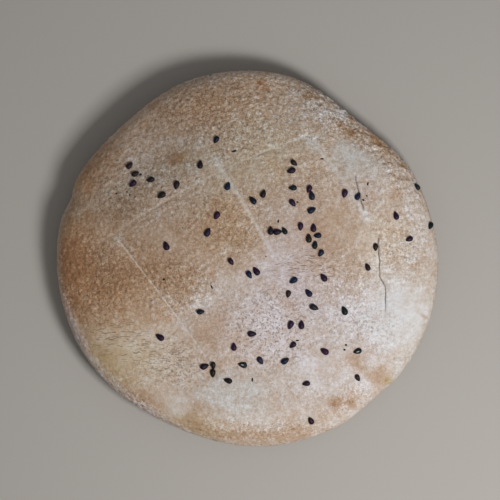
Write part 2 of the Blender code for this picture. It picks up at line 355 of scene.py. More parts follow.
# Small marks that the oven left, in the same measures, whose edges don't drift
BAKED_SPOTS = (
    ((-24.2, 33.6), 3.3, 1.9, 15, 0.55),
    ((47.7, -42.3), 1.5, 1.15, 20, 0.46),
    ((44.2, 39.8), 3.0, 1.2, -45, 0.5),
    ((47.7, 36.4), 1.8, 0.9, -45, 0.3),
    ((31.4, 45.2), 1.9, 1.3, -30, 0.42),
    ((35.1, 47.2), 2.4, 0.9, -40, 0.36),
    ((35.1, 42.2), 2.4, 1.4, -20, 0.36),
    ((39.0, 42.6), 2.0, 1.0, -30, 0.3),
    ((53.5, 31.2), 1.4, 1.0, -30, 0.55),
    ((51.1, 34.2), 1.3, 0.4, -60, 0.6),
    ((20.4, 55.0), 1.6, 1.3, 0, 0.5),
    ((23.5, 54.6), 2.4, 0.6, -25, 0.5),
    ((4.6, 59.6), 2.0, 1.2, 10, 0.5),
    ((6.3, 57.5), 1.4, 1.1, 0, 0.34),
    ((0.4, 46.0), 0.9, 0.8, 0, 0.4),
    ((48.8, 20.3), 0.9, 0.8, 0, 0.3),
    ((60.0, -20.0), 1.6, 0.4, -36, 0.55),
    ((-44.0, 6.2), 1.7, 1.3, 0, -0.4),
    ((39.8, 14.6), 3.4, 1.3, -65, -0.38),
    ((32.6, 49.2), 2.2, 1.4, -35, -0.4),
)
EVEN_BROWNING = 0.42
PATCH_SHARPNESS = 1.4
LINE_DUST = 0.08
# Unevenness of the patches' edges and of the browning: length, reach and draw
EDGE_DRIFTS = ((14 * MM, 2.6 * MM, 10), (4.5 * MM, 1.1 * MM, 11), (1.7 * MM, 0.5 * MM, 12))
ACROSS_DRAW = 10
BLOTCHES = ((16 * MM, 0.05, 30), (6 * MM, 0.07, 31), (2.6 * MM, 0.06, 32))

# Casts of colour over the browning: warm where it is toasted, grey under flour, lilac and olive in places,
# and painted shade
WARM = (1.14, 1.02, 0.9)
TOASTED = (1.035, 1.0, 0.93)
OLIVE = (1.0, 1.02, 0.94)
KHAKI = (1.0, 1.05, 0.86)
# Painted shade: a grey darkening that stands for the light falling off away from the lamp
PAINTED_SHADE = (0.86, 0.87, 0.875)
GREY = (0.9, 0.97, 1.02)
SAGE = (0.955, 1.02, 1.12)
PEARL = (0.985, 1.0, 1.05)
LILAC = (0.99, 0.98, 1.05)
WHITE = (0.96, 0.985, 0.985)
TINT_AND_SHADE_PATCHES = (
    ((-56, 27), 8, 4, 55, WARM),
    ((-60, 0), 22, 7, 85, WARM),
    ((-39, 45), 17, 4, 43, WARM),
    ((4, 61), 13, 3.5, 0, WARM),
    ((44.5, 39.5), 5, 2, -42, TOASTED),
    ((-24.2, 33.6), 4, 2, 20, TOASTED),
    ((-46, -12), 15, 11, 0, TOASTED),
    ((-38, -33), 17, 12, -25, TOASTED),
    ((-6, 12), 11, 9, 0, TOASTED),
    ((46, 8), 8, 12, -15, TOASTED),
    ((-2, 36), 26, 14, 15, OLIVE),
    ((-43, -35), 13, 10, -30, OLIVE),
    ((-49, -37), 9, 4, -55, OLIVE),
    ((-18, -57.5), 12, 4, -15, OLIVE),
    ((47.7, -42.3), 2, 1.6, 0, KHAKI),
    # Painted shade over the upper left, where the light falls off away from the lamp
    ((-24, 24), 44, 26, 25, PAINTED_SHADE),
    ((-32, 42), 10, 7, 30, PAINTED_SHADE),
    ((-45, 19), 16, 8, 20, GREY),
    ((-28, 31), 14, 7, 20, GREY),
    ((-5, -46), 15, 8, 0, GREY),
    ((36, 34), 8, 7, 0, GREY),
    ((19, 45), 10, 9, -10, SAGE),
    ((-24, 31), 26, 13, 20, PEARL),
    ((-14, 38), 14, 8, 10, PEARL),
    ((15, 13), 12, 10, 0, PEARL),
    ((40, 20), 7, 6, 0, PEARL),
    ((30, -38), 26, 16, 25, PEARL),
    ((30, -14), 16, 9, -15, PEARL),
    ((7, -22), 20, 15, 10, LILAC),
    ((16, -2), 14, 11, 0, LILAC),
    ((54, -20), 12, 12, 0, WHITE),
    ((54, -38), 15, 3, 55, WHITE),
)


def patch(plan, place, half_length, half_width, lies):
    """A soft-edged oval of the plan: 1 in its middle, 0 outside."""
    lies = math.radians(lies)
    x, y = (plan - np.array(place) * MM).T
    along = (x * math.cos(lies) + y * math.sin(lies)) / (half_length * MM)
    across = (y * math.cos(lies) - x * math.sin(lies)) / (half_width * MM)
    return np.exp(-((along**2 + across**2) ** PATCH_SHARPNESS))


drifted = plan.copy()
for length, reach, draw in EDGE_DRIFTS:
    drifted[:, 0] += reach * waver(flat, length, draw)
    drifted[:, 1] += reach * waver(flat, length, draw + ACROSS_DRAW)
browning = np.full(len(plan), EVEN_BROWNING)
for place, half_length, half_width, lies, amount in BAKED_PATCHES:
    browning += amount * patch(drifted, place, half_length, half_width, lies)
tint_and_shade = np.ones((len(plan), 3))
for place, half_length, half_width, lies, cast_and_shade in TINT_AND_SHADE_PATCHES:
    tint_and_shade *= np.array(cast_and_shade) ** patch(drifted, place, half_length, half_width, lies)[:, None]
for place, half_length, half_width, lies, amount in BAKED_SPOTS:
    browning += amount * patch(plan, place, half_length, half_width, lies)
for length, amount, draw in BLOTCHES:
    browning += amount * waver(flat, length, draw)
browning -= LINE_DUST * dusted

# How its skin feels: sandy with small blisters where it is toasted and smooth elsewhere, finely wrinkled in
# two places, dark-specked in the floury middle, and nubbly on the upper right rim
SANDY_PATCHES = (
    ((-50, -6), 24, 17, 10, 1.0),
    ((-24, -9), 17, 13, 0, 1.1),
    ((-34, 26), 30, 20, 30, 0.9),
    ((-6, 48), 34, 20, 5, 1.1),
    ((-8, 14), 20, 17, 0, 0.95),
    ((18, 26), 18, 14, 0, 0.75),
    ((22, 46), 14, 13, -20, 0.95),
    ((44, 20), 14, 14, 0, 0.5),
    ((52, 2), 11, 18, 0, 0.8),
    ((4, -59), 28, 5, 0, 0.8),
    ((-36, -50), 20, 4, -38, 0.9),
    ((34, -48), 12, 6, 25, 0.6),
    ((33, -8), 14, 14, 0, 0.7),
)
SMOOTH_SKIN = 0.26
SILKY_PATCHES = (
    ((54, -19), 9, 11, 0, 0.95),
    ((22, -37), 8, 8, 0, 0.6),
    ((-45, -33), 9, 8, -30, 0.95),
    ((-26, -50), 8, 5, -20, 0.8),
)
WRINKLED_PATCHES = (
    ((-41, -29), 15, 9, -20, 1.0),
    ((21, -3), 13, 5.5, 0, 1.0),
    ((-28, -36), 12, 8, 0, 0.8),
)
SPECKED_PATCHES = (
    ((8, -24), 19, 16, 10, 1.0),
    ((-22, -36), 13, 9, 0, 0.85),
    ((38, -24), 15, 10, 0, 0.7),
    ((20, -44), 14, 8, 0, 0.4),
    ((50, 4), 12, 16, 0, 0.3),
)
NUBBLY_SIDE = math.radians(45)
NUBBLY_SPREAD = math.radians(27)
NUBBLY_REACH = (0.84, 0.92)
NUBBLY_TURNS = (2.2, 1.7)
NUBBLY_GRAIN = 0.7


def spread_of(patches):
    """The strongest of some patches at each place."""
    covered = np.zeros(len(plan))
    for place, half_length, half_width, lies, amount in patches:
        covered = np.maximum(covered, amount * patch(drifted, place, half_length, half_width, lies))
    return covered


wrinkled = spread_of(WRINKLED_PATCHES)
specked = spread_of(SPECKED_PATCHES)
nubbly = np.exp(-((away_from(angle, NUBBLY_SIDE) / NUBBLY_SPREAD) ** 4))
nubbly *= smoothstep(*NUBBLY_REACH, out) * smoothstep(*NUBBLY_TURNS, turn)
sandy = np.maximum(SMOOTH_SKIN, spread_of(SANDY_PATCHES)) * (1 - spread_of(SILKY_PATCHES))
sandy += NUBBLY_GRAIN * nubbly

# The low side of the loaf never browned: a pale, floury, rough band, which shows most at the lower left.
# Underneath, the stone scorched it. Both are placed by the turn of the section, in radians.
SIDE_STARTS = (1.3, 1.5)
SIDE_EDGE = ((5 * MM, 0.1, 50), (1.6 * MM, 0.05, 51))
SIDE_SHOWS = 0.28
SIDE_BROWNING = 0.3
SIDE_COVER = 0.7
LOWER_LEFT = math.radians(215)
LOWER_LEFT_SPREAD = math.radians(38)
BASE_STARTS = (2.55, 2.9)
BASE_BROWNING = 0.5
BASE_SCORCH = ((7 * MM, 0.3, 60), (2.5 * MM, 0.2, 61))
BASE_SANDY = 0.5
low_left = np.exp(-((away_from(angle, LOWER_LEFT) / LOWER_LEFT_SPREAD) ** 4))
side_turn = turn + SIDE_SHOWS * low_left
for length, reach, draw in SIDE_EDGE:
    side_turn += reach * waver(flat, length, draw)
underside = smoothstep(*BASE_STARTS, turn)
pale_side = smoothstep(*SIDE_STARTS, side_turn) * (1 - underside)
scorched = np.full(len(plan), BASE_BROWNING)
for length, amount, draw in BASE_SCORCH:
    scorched += amount * waver(flat, length, draw)
browning += pale_side * (SIDE_BROWNING - browning) * (SIDE_COVER + (1 - SIDE_COVER) * low_left)
browning += underside * (scorched - browning)
tint_and_shade *= np.array(LILAC) ** (pale_side * low_left)[:, None]

middle = outline_middle()
for vert, (x, y), z in zip(loaf.verts, plan, height):
    vert.co = (x - middle.x, y - middle.y, z)
loaf.normal_update()

# Real relief of the skin, along its normal: blisters, nubs on the rim, the rough side and a pitted base
BLISTER_LENGTH = 2.1 * MM
BLISTER_HEIGHT = 0.09 * MM
BLISTER_SPREAD = 0.75
BLISTERS_LEAST = 0.3
GRAIN_LENGTH = 1.15 * MM
GRAIN_HEIGHT = 0.05 * MM
NUB_LENGTH = 1.7 * MM
NUB_HEIGHT = 0.55 * MM
NUB_LEVEL = 0.55
ROUGH_LENGTH = 1.3 * MM
ROUGH_HEIGHT = 0.22 * MM
ROUGH_DRAW = 70
PIT_LENGTH = 4.5 * MM
PIT_DEPTH = 0.18 * MM
PIT_STEEPNESS = 2
PIT_DRAW = 80


def blisters(points, length):
    """Rounded cells of about that length: 1 at their middles, 0 between them."""
    nearest = np.array([noise.voronoi(Vector(p) / length)[0][0] for p in points])
    return np.clip(1 - (nearest / BLISTER_SPREAD) ** 2, 0, 1)


body = np.column_stack([plan, height])
top_skin = on_top * (1 - pale_side)
swell = BLISTER_HEIGHT * (BLISTERS_LEAST + sandy) * top_skin * (blisters(body, BLISTER_LENGTH) - 0.5)
swell += GRAIN_HEIGHT * sandy * top_skin * (blisters(body, GRAIN_LENGTH) - 0.5)
swell += NUB_HEIGHT * nubbly * (blisters(body, NUB_LENGTH) - NUB_LEVEL)
swell += ROUGH_HEIGHT * pale_side * waver(body, ROUGH_LENGTH, ROUGH_DRAW)
pits = np.clip(PIT_STEEPNESS * waver(flat, PIT_LENGTH, PIT_DRAW), 0, 1)
pits *= PIT_DEPTH * underside
for vert, rise, depth in zip(loaf.verts, swell, pits):
    vert.co += vert.normal * rise
    vert.co.z += depth

crust_mesh = bpy.data.meshes.new("bread_crust")
loaf.to_mesh(crust_mesh)
loaf.free()
crust_mesh.shade_smooth()
for name, values in (
    ("browning", browning),
    ("sandy", sandy * (1 - underside) + BASE_SANDY * underside),
    ("wrinkled", wrinkled),
    ("specked", specked),
    ("split", split),
    ("crack_side", crack_side),
    ("side", pale_side),
):
    kept = crust_mesh.attributes.new(name, "FLOAT", "POINT")
    kept.data.foreach_set("value", np.ascontiguousarray(values, dtype=np.float32))
for name, values in (
    ("line_sides_1", line_sides[:3]),
    ("line_sides_2", line_sides[3:]),
    ("line_marks_1", line_marks[:3]),
    ("line_marks_2", line_marks[3:]),
):
    kept = crust_mesh.attributes.new(name, "FLOAT_VECTOR", "POINT")
    kept.data.foreach_set("vector", np.column_stack(values).astype(np.float32).ravel())
kept = crust_mesh.attributes.new("tint_and_shade", "FLOAT_COLOR", "POINT")
kept.data.foreach_set("color", np.column_stack([tint_and_shade, np.ones(len(tint_and_shade))]).astype(np.float32).ravel())
crust = bpy.data.objects.new("bread_crust", crust_mesh)
bpy.context.scene.collection.objects.link(crust)


# The crust's finish: from white flour over pale and golden crust to brown, with pale grains in a browner
# net where it is sandy, short dark wrinkles with painted shade in their creases, dark specks in the flour,
# and painted shadow in the split
FLOUR_WHITE = (0.69, 0.665, 0.665)
PALE_CRUST = (0.58, 0.505, 0.45)
GOLDEN_CRUST = (0.49, 0.364, 0.274)
BROWN_CRUST = (0.395, 0.256, 0.163)
DARK_CRUST = (0.31, 0.178, 0.1)
CRUST_STEPS = (
    (0.0, FLOUR_WHITE),
    (0.25, PALE_CRUST),
    (0.5, GOLDEN_CRUST),
    (0.8, BROWN_CRUST),
    (1.0, DARK_CRUST),
)


def shader_node(tree, kind, sockets, **settings):
    """A node with its settings, and with a value or another node's output in each named socket."""
    made = tree.nodes.new("ShaderNode" + kind)
    for setting, value in settings.items():
        setattr(made, setting, value)
    for socket, value in sockets.items():
        if isinstance(value, bpy.types.NodeSocket):
            tree.links.new(value, made.inputs[socket])
        else:
            made.inputs[socket].default_value = value
    return made


def arithmetic(tree, operation, *values):
    """A sum with those values or outputs."""
    return shader_node(tree, "Math", dict(enumerate(values)), operation=operation).outputs[0]


def spread_over(tree, value, low, high, to_low=0.0, to_high=1.0):
    """That value, with its range low..high spread over another range and held there."""
    sockets = {"Value": value, "From Min": low, "From Max": high, "To Min": to_low, "To Max": to_high}
    return shader_node(tree, "MapRange", sockets).outputs["Result"]


def kept_value(tree, name):
    """A value that the mesh keeps at each of its points."""
    return shader_node(tree, "Attribute", {}, attribute_name=name).outputs["Fac"]


def cloud(tree, place, length, detail=2.0, roughness=0.5):
    """Noise between 0 and 1 with features of about that length."""
    sockets = {"Vector": place, "Scale": 1 / length, "Detail": detail, "Roughness": roughness}
    return shader_node(tree, "TexNoise", sockets).outputs["Fac"]


def ramp(tree, value, steps):
    """Colour for a value, from steps of a place between 0 and 1 and a colour."""
    made = shader_node(tree, "ValToRGB", {"Fac": value})
    elements = made.color_ramp.elements
    while len(elements) < len(steps):
        elements.new(0.5)
    for element, (place, colour) in zip(elements, steps):
        element.position = place
        element.color = (*colour, 1)
    return made.outputs["Color"]


def mixed(tree, share, first, second, blend="MIX"):
    """The first colour with that share of the second mixed over it."""
    made = shader_node(tree, "Mix", {0: share}, data_type="RGBA", blend_type=blend)
    for socket, colour in ((6, first), (7, second)):
        if isinstance(colour, bpy.types.NodeSocket):
            tree.links.new(colour, made.inputs[socket])
        else:
            made.inputs[socket].default_value = (*colour, 1)
    return made.outputs[2]


def shaken(tree, place, length, reach):
    """The place moved about by noise, so that what follows it loses its straight lines."""
    jitter = {"Vector": place, "Scale": 1 / length, "Detail": 1.0}
    jitter = shader_node(tree, "TexNoise", jitter).outputs["Color"]
    jitter = shader_node(tree, "VectorMath", {0: jitter, 1: (0.5, 0.5, 0.5)}, operation="SUBTRACT").outputs[0]
    jitter = shader_node(tree, "VectorMath", {0: jitter, "Scale": reach}, operation="SCALE").outputs[0]
    return shader_node(tree, "VectorMath", {0: place, 1: jitter}, operation="ADD").outputs[0]


def level_cloud(tree, place, length, detail, roughness):
    """Noise about nought."""
    return arithmetic(tree, "SUBTRACT", cloud(tree, place, length, detail, roughness), 0.5)


def ridged_cloud(tree, place, length, detail, roughness):
    """How far noise is from its middle level, which draws thin wandering lines where it is nought."""
    return arithmetic(tree, "ABSOLUTE", level_cloud(tree, place, length, detail, roughness))


def cells(tree, place, spacing):
    """Round cells of about that spacing: the distance from their middles, and a colour drawn for each."""
    made = shader_node(tree, "TexVoronoi", {"Vector": place, "Scale": 1 / spacing}, feature="F1").outputs
    return made["Distance"], made["Color"]


def layered(tree, total, layers):
    """A total with each layer added to it in its own amount."""
    for layer, amount in layers:
        total = arithmetic(tree, "MULTIPLY_ADD", layer, amount, total)
    return total


baked = bpy.data.materials.new("baked_crust")
baked.use_nodes = True
tree = baked.node_tree
shader = tree.nodes["Principled BSDF"]
place = shader_node(tree, "TexCoord", {}).outputs["Object"]
sandy_here = kept_value(tree, "sandy")

# Dry sandy crust: fine uneven sand with pale grains, curls of skin in it, here and there a pale flake, and
# wider dust and mottling over it. A noise is given by its length, detail and roughness, and a shake by the
# length and the reach of the noise that moves the place.
SAND_NOISE = (1.15 * MM, 3.0, 0.8)
CURL_NOISE = (1.5 * MM, 2.0, 0.6)
CURL_SHAKE = (2.5 * MM, 2 * MM)
CURL_BAND = (0.01, 0.06)
CURL_EDGE = (0.05, 0.08, 0.12)
FLAKE_SPACING = 2.3 * MM
FLAKE_SHAKE = (1.1 * MM, 0.9 * MM)
FLAKE_SIZE = (0.16, 0.3)
FLAKE_CHOICE = (0.7, 0.95)
GRAIN_SPACING = 1.75 * MM
GRAIN_SHAKE = (1.3 * MM, 1.0 * MM)
GRAIN_SIZE = (0.2, 0.62)
DUST_NOISE = (2.4 * MM, 3.0, 0.6)
MOTTLE_NOISE = (4.2 * MM, 3.0, 0.55)
sand = level_cloud(tree, place, *SAND_NOISE)
curl_side = ridged_cloud(tree, shaken(tree, place, *CURL_SHAKE), *CURL_NOISE)
curls = spread_over(tree, curl_side, *CURL_BAND, 1.0, 0.0)
edges = spread_over(tree, curl_side, *CURL_EDGE[:2])
edges = arithmetic(tree, "MULTIPLY", edges, spread_over(tree, curl_side, *CURL_EDGE[1:], 1.0, 0.0))
flake_distance, flake_draw = cells(tree, shaken(tree, place, *FLAKE_SHAKE), FLAKE_SPACING)
flake_draw = shader_node(tree, "SeparateXYZ", {0: flake_draw}).outputs["X"]
flakes = spread_over(tree, flake_distance, *FLAKE_SIZE, 1.0, 0.0)
flakes = arithmetic(tree, "MULTIPLY", flakes, spread_over(tree, flake_draw, *FLAKE_CHOICE))
grain, _ = cells(tree, shaken(tree, place, *GRAIN_SHAKE), GRAIN_SPACING)
grain = spread_over(tree, grain, *GRAIN_SIZE, -1.0, 1.0)
dust = level_cloud(tree, place, *DUST_NOISE)
mottle = level_cloud(tree, place, *MOTTLE_NOISE)

# Strokes of the wrinkled crust: noise drawn out along them, which dents the bump and darkens the colour as
# painted shade in the creases
WRINKLE_LIES = math.radians(-9)
WRINKLE_LENGTH = 2.8 * MM
WRINKLE_WIDTH = 0.42 * MM
WRINKLE_SHAKE = (3 * MM, 2 * MM)
WRINKLE_PAINTED_SHADE = (0.2, 0.135, 0.075)
STROKE_DETAIL = 1.5
STROKE_LEVELS = (0.575, 0.65)
STROKE_SHOWS = 0.68
strokes = {
    "Vector": shaken(tree, place, *WRINKLE_SHAKE),
    "Rotation": (0, 0, -WRINKLE_LIES),
    "Scale": (1 / WRINKLE_LENGTH, 1 / WRINKLE_WIDTH, 1 / WRINKLE_LENGTH),
}
strokes = shader_node(tree, "Mapping", strokes, vector_type="POINT").outputs["Vector"]
strokes = cloud(tree, strokes, 1.0, STROKE_DETAIL)
strokes = spread_over(tree, strokes, *STROKE_LEVELS)
strokes = arithmetic(tree, "MULTIPLY", strokes, kept_value(tree, "wrinkled"))

# Short wavering specks in the flour: thin ridges of noise, kept where another noise is high
SPECK_NOISE = (1.25 * MM, 2.5, 0.6)
SPECK_WIDTH = (0.01, 0.09)
SPECK_GAPS = (1.0 * MM, 1.0)
SPECK_LEVELS = (0.49, 0.56)
SPECK_SHADE = (0.19, 0.13, 0.1)
SPECK_SHOWS = 0.8
specks = spread_over(tree, ridged_cloud(tree, place, *SPECK_NOISE), *SPECK_WIDTH, 1.0, 0.0)
broken = spread_over(tree, cloud(tree, place, *SPECK_GAPS), *SPECK_LEVELS)
specks = arithmetic(tree, "MULTIPLY", specks, broken)
specks = arithmetic(tree, "MULTIPLY", specks, kept_value(tree, "specked"))

# Pale marks of the pressed lines, each across its own distance and uneven along it
LINE_PALE = 0.17
LINE_CORE = 0.35
LINE_PATCHES = 1.2 * MM
LINE_PATCH_LEVELS = (0.3, 0.6)
LINE_FAINTEST = 0.45
marked = 0.0
for group, lines in (("1", PRESSED_LINES[:3]), ("2", PRESSED_LINES[3:])):
    sides = shader_node(tree, "Attribute", {}, attribute_name="line_sides_" + group).outputs["Vector"]
    marks = shader_node(tree, "Attribute", {}, attribute_name="line_marks_" + group).outputs["Vector"]
    sides = shader_node(tree, "SeparateXYZ", {0: sides}).outputs
    marks = shader_node(tree, "SeparateXYZ", {0: marks}).outputs
    for side_of, mark, (_, sizes, _) in zip(sides, marks, lines):
        half_width = sizes[2] * MM
        across = arithmetic(tree, "ABSOLUTE", side_of)
        across = spread_over(tree, across, LINE_CORE * half_width, half_width, 1.0, 0.0)
        marked = arithmetic(tree, "MAXIMUM", arithmetic(tree, "MULTIPLY", across, mark), marked)
uneven = spread_over(tree, cloud(tree, place, LINE_PATCHES), *LINE_PATCH_LEVELS, LINE_FAINTEST, 1.0)
marked = arithmetic(tree, "MULTIPLY", marked, uneven)

# How much each layer browns the crust, where it is sandy and where it is smooth
SANDY_LAYERS = ((sand, 0.95), (curls, -0.16), (edges, 0.3), (flakes, -0.3), (grain, 0.08))
SANDY_LEVEL = 0.04
SMOOTH_SAND = (0.1, 0.55)
DUST_SHOWS = (0.15, 0.35)
MOTTLE_SHOWS = 0.5
toasted = kept_value(tree, "browning")
toasted = layered(tree, toasted, ((layered(tree, SANDY_LEVEL, SANDY_LAYERS), sandy_here),))
smooth_sand = spread_over(tree, sandy_here, 0.0, SMOOTH_SKIN, *SMOOTH_SAND)
smooth_sand = arithmetic(tree, "MULTIPLY", sand, smooth_sand)
smooth_here = arithmetic(tree, "SUBTRACT", 1.0, sandy_here)
dust_shows = spread_over(tree, sandy_here, 0.0, 1.0, *DUST_SHOWS)
toasted = layered(tree, toasted, ((smooth_sand, smooth_here), (dust, dust_shows), (mottle, MOTTLE_SHOWS)))
paler = arithmetic(tree, "SUBTRACT", LINE_PALE, toasted)
toasted = arithmetic(tree, "MULTIPLY_ADD", marked, paler, toasted)
colour = ramp(tree, toasted, CRUST_STEPS)

# Painted light and shade of the sand, more where it is sandy, then the cast of the place with its painted
# shade, and the dark marks: wrinkles with painted shade in their creases, specks, and painted shadow in the
# split
SHADE_LAYERS = ((edges, -0.16), (sand, -1.25))
SHADE_LEVEL = 0.05
SHADE_SHOWS = (0.22, 1.8)
SANDIEST = 1.6
CRACK_PAINTED_SHADOW = (0.13, 0.1, 0.085)
CRACK_SHOWS = (0.05 * MM, 0.36 * MM)
CRACK_SHADOW_LEVELS = (-0.1, 0.1)
CRACK_SHADOW_STRENGTH = (0.65, 1.0)
shade = layered(tree, SHADE_LEVEL, SHADE_LAYERS)
shade_shows = spread_over(tree, sandy_here, 0.0, SANDIEST, *SHADE_SHOWS)
shade = arithmetic(tree, "MULTIPLY_ADD", shade, shade_shows, 1.0)
shade = shader_node(tree, "CombineXYZ", {0: shade, 1: shade, 2: shade}).outputs[0]
colour = mixed(tree, 1.0, colour, shade, "MULTIPLY")
# The cast of each place, with its painted shade over the upper left
cast_and_shade = shader_node(tree, "Attribute", {}, attribute_name="tint_and_shade").outputs["Color"]
colour = mixed(tree, 1.0, colour, cast_and_shade, "MULTIPLY")
# Painted shade in the creases of the wrinkles
colour = mixed(tree, arithmetic(tree, "MULTIPLY", strokes, STROKE_SHOWS), colour, WRINKLE_PAINTED_SHADE)
colour = mixed(tree, arithmetic(tree, "MULTIPLY", specks, SPECK_SHOWS), colour, SPECK_SHADE)
# Painted shadow in the split: a dark colour down the crack, uneven along it, over its real groove
crack_shadow_mask = arithmetic(tree, "ABSOLUTE", kept_value(tree, "crack_side"))
crack_shadow_mask = spread_over(tree, crack_shadow_mask, *CRACK_SHOWS, 1.0, 0.0)
crack_shadow_mask = arithmetic(tree, "MULTIPLY", crack_shadow_mask, kept_value(tree, "split"))
crack_shadow_unevenness = spread_over(tree, dust, *CRACK_SHADOW_LEVELS, *CRACK_SHADOW_STRENGTH)
crack_shadow_mask = arithmetic(tree, "MULTIPLY", crack_shadow_mask, crack_shadow_unevenness)
colour = mixed(tree, crack_shadow_mask, colour, CRACK_PAINTED_SHADOW)
tree.links.new(colour, shader.inputs["Base Color"])

# Dry and matt, a little less so where it is browned
CRUST_ROUGHNESS = (0.95, 0.7)
ROUGHNESS_LEVELS = (0.1, 1.0)
CRUST_SPECULAR = 0.3
roughness = spread_over(tree, toasted, *ROUGHNESS_LEVELS, *CRUST_ROUGHNESS)
tree.links.new(roughness, shader.inputs["Roughness"])
shader.inputs["Specular IOR Level"].default_value = CRUST_SPECULAR

# The finest relief: grains, curls and flakes, pressed flat along the lines, and the rough low side
BUMP_LAYERS = ((sand, 1.2), (curls, 0.35), (flakes, 0.5), (grain, -0.7))
BUMP_HEIGHT = 0.16 * MM
LINE_FLATNESS = 0.8
SMOOTH_BUMPS = 0.3
SIDE_GRAIN = (0.7 * MM, 4.0, 0.7)
SIDE_ROUGHNESS = 1.6
STROKE_DEPTH = 0.7
bumps = layered(tree, 0.0, BUMP_LAYERS)
bumps = arithmetic(tree, "MULTIPLY", bumps, arithmetic(tree, "MULTIPLY_ADD", marked, -LINE_FLATNESS, 1.0))
bumps = arithmetic(tree, "MULTIPLY", bumps, spread_over(tree, sandy_here, 0.0, 1.0, SMOOTH_BUMPS, 1.0))
rough_side = cloud(tree, place, *SIDE_GRAIN)
rough_side = arithmetic(tree, "MULTIPLY", rough_side, kept_value(tree, "side"))
bumps = layered(tree, bumps, ((rough_side, SIDE_ROUGHNESS), (strokes, -STROKE_DEPTH)))
bump = shader_node(tree, "Bump", {"Height": bumps, "Distance": BUMP_HEIGHT, "Strength": 1.0})
tree.links.new(bump.outputs["Normal"], shader.inputs["Normal"])
crust_mesh.materials.append(baked)
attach(crust, "root")
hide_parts("flatbread")


# Nigella seeds: small black seeds, blunt at one end and pointed at the other, with three edges and a
# wrinkled matt coat. They were scattered on the wet dough before baking and sit a little sunk in the crust.
SEED_LENGTH = 2.9 * MM
SEED_WIDTH = 1.85 * MM
SEED_HEIGHT = 1.5 * MM
SEED_TAPER = 0.34
SEED_RIDGE = 0.12
SEED_SUNK = 0.28
SEED_SIZE_SPREAD = 0.1
SEED_SCATTER = 0.2 * MM
SEED_TURN = math.radians(3)
SEED_DRAW = 7
SEED_SIDES = 18
SEED_RINGS = 12
RIDGE_UP = Matrix.Rotation(math.radians(30), 4, "Z")
SEED_WRINKLE = 0.05
SEED_WRINKLE_LENGTH = 0.55
SEED_WRINKLE_STEP = 3

# Rows in which the seeds fell: first and last place in millimetres from the middle, how many seeds,
# and the directions in degrees in which the first and the last one point
SEED_ROWS = (
    ((-10.5, 40.0), (-16.0, 31.5), 2, 240, 85),
    ((16.0, 32.0), (21.0, 23.0), 2, 325, 250),
    ((-40.0, 31.0), (-33.0, 26.5), 2, 45, 195),
    ((15.0, 29.5), (15.5, 23.5), 2, 200, 180),
    ((-38.0, 28.5), (-39.0, 25.0), 2, 25, 225),
    ((-24.0, 24.5), (-29.0, 21.0), 2, 255, 212),
    ((57.5, 24.0), (50.5, 14.0), 2, 130, 110),
    ((-6.5, 24.0), (-10.5, 14.2), 2, 65, 240),
    ((-13.5, 8.5), (-13.5, 8.5), 1, 60, 60),
    ((33.0, 21.5), (37.5, 20.5), 2, 255, 55),
    ((5.5, 21.5), (2.0, 19.5), 2, 75, 135),
    ((22.0, 21.0), (22.0, 16.0), 2, 100, 28),
    ((62.0, 10.5), (55.0, 6.0), 2, 240, 200),
    ((15.5, 18.5), (18.0, 10.5), 2, 310, 268),
    ((8.0, 9.0), (12.6, 8.9), 2, 86, 118),
    ((10.1, 8.5), (22.5, 10.0), 2, 4, 90),
    ((24.0, 7.5), (25.0, 1.5), 2, 190, 240),
    ((21.0, 6.5), (22.9, 4.3), 2, 95, 80),
    ((-27.5, 4.0), (-5.5, -1.5), 2, 105, 305),
    ((43.5, 3.5), (41.0, -3.5), 2, 265, 112),
    ((3.0, -4.5), (0.5, -6.0), 2, 125, 300),
    ((26.0, -7.0), (33.0, -18.0), 2, 126, 110),
    ((15.5, -8.0), (14.0, -12.5), 2, 212, 258),
    ((21.0, -12.0), (22.5, -17.0), 2, 130, 335),
    ((-16.0, -18.5), (-29.5, -27.0), 2, 6, 145),
    ((14.5, -23.0), (18.5, -23.0), 2, 248, 85),
    ((1.5, -26.0), (-4.5, -30.5), 2, 0, 88),
    ((15.5, -30.0), (13.0, -35.0), 2, 222, 30),
    ((37.5, -32.0), (37.5, -41.0), 2, 192, 300),
    ((26.0, -32.0), (20.0, -43.0), 2, 148, 190),
    ((4.5, -35.0), (-1.5, -36.5), 2, 305, 170),
    ((-14.5, -37.0), (-6.5, -42.0), 2, 18, 165),
    ((-11.5, -36.5), (-11.5, -39.5), 2, 272, 270),
    ((21.5, -55.5), (21.5, -55.5), 1, 118, 118),
)

# The coats lean to purple, to blue or to green, and two seeds have split and show their pale kernel
SEED_COATS = (
    (0.026, 0.005, 0.03),
    (0.016, 0.005, 0.026),
    (0.004, 0.01, 0.036),
    (0.004, 0.014, 0.014),
    (0.016, 0.009, 0.007),
)
COAT_BLEND = 0.3
COAT_SHADES = (0.5, 1.15)
KERNEL = (0.42, 0.39, 0.43)
KERNEL_SHAPE = (0.26 * SEED_LENGTH, 0.12 * SEED_WIDTH, 0.14 * SEED_HEIGHT)
KERNEL_PLACE = (-0.03 * SEED_LENGTH, 0, 0.46 * SEED_HEIGHT)
SPLIT_SEEDS = ((37.7, -31.9), (-1.5, -36.5))
SPLIT_REACH = 1.6 * MM


def seed_places():
    """Place, heading and size of each seed, row by row, with a little seeded scatter."""
    draw = random.Random(SEED_DRAW)
    places = []
    for first, last, count, first_points, last_points in SEED_ROWS:
        for i in range(count):
            share = i / max(1, count - 1)
            place = Vector(first).lerp(Vector(last), share) * MM
            place += Vector((draw.uniform(-1, 1), draw.uniform(-1, 1))) * SEED_SCATTER
            heading = math.radians(first_points + (last_points - first_points) * share)
            heading += SEED_TURN * draw.uniform(-1, 1)
            size = 1 + SEED_SIZE_SPREAD * draw.uniform(-1, 1)
            places.append((place, heading, size))
    return places


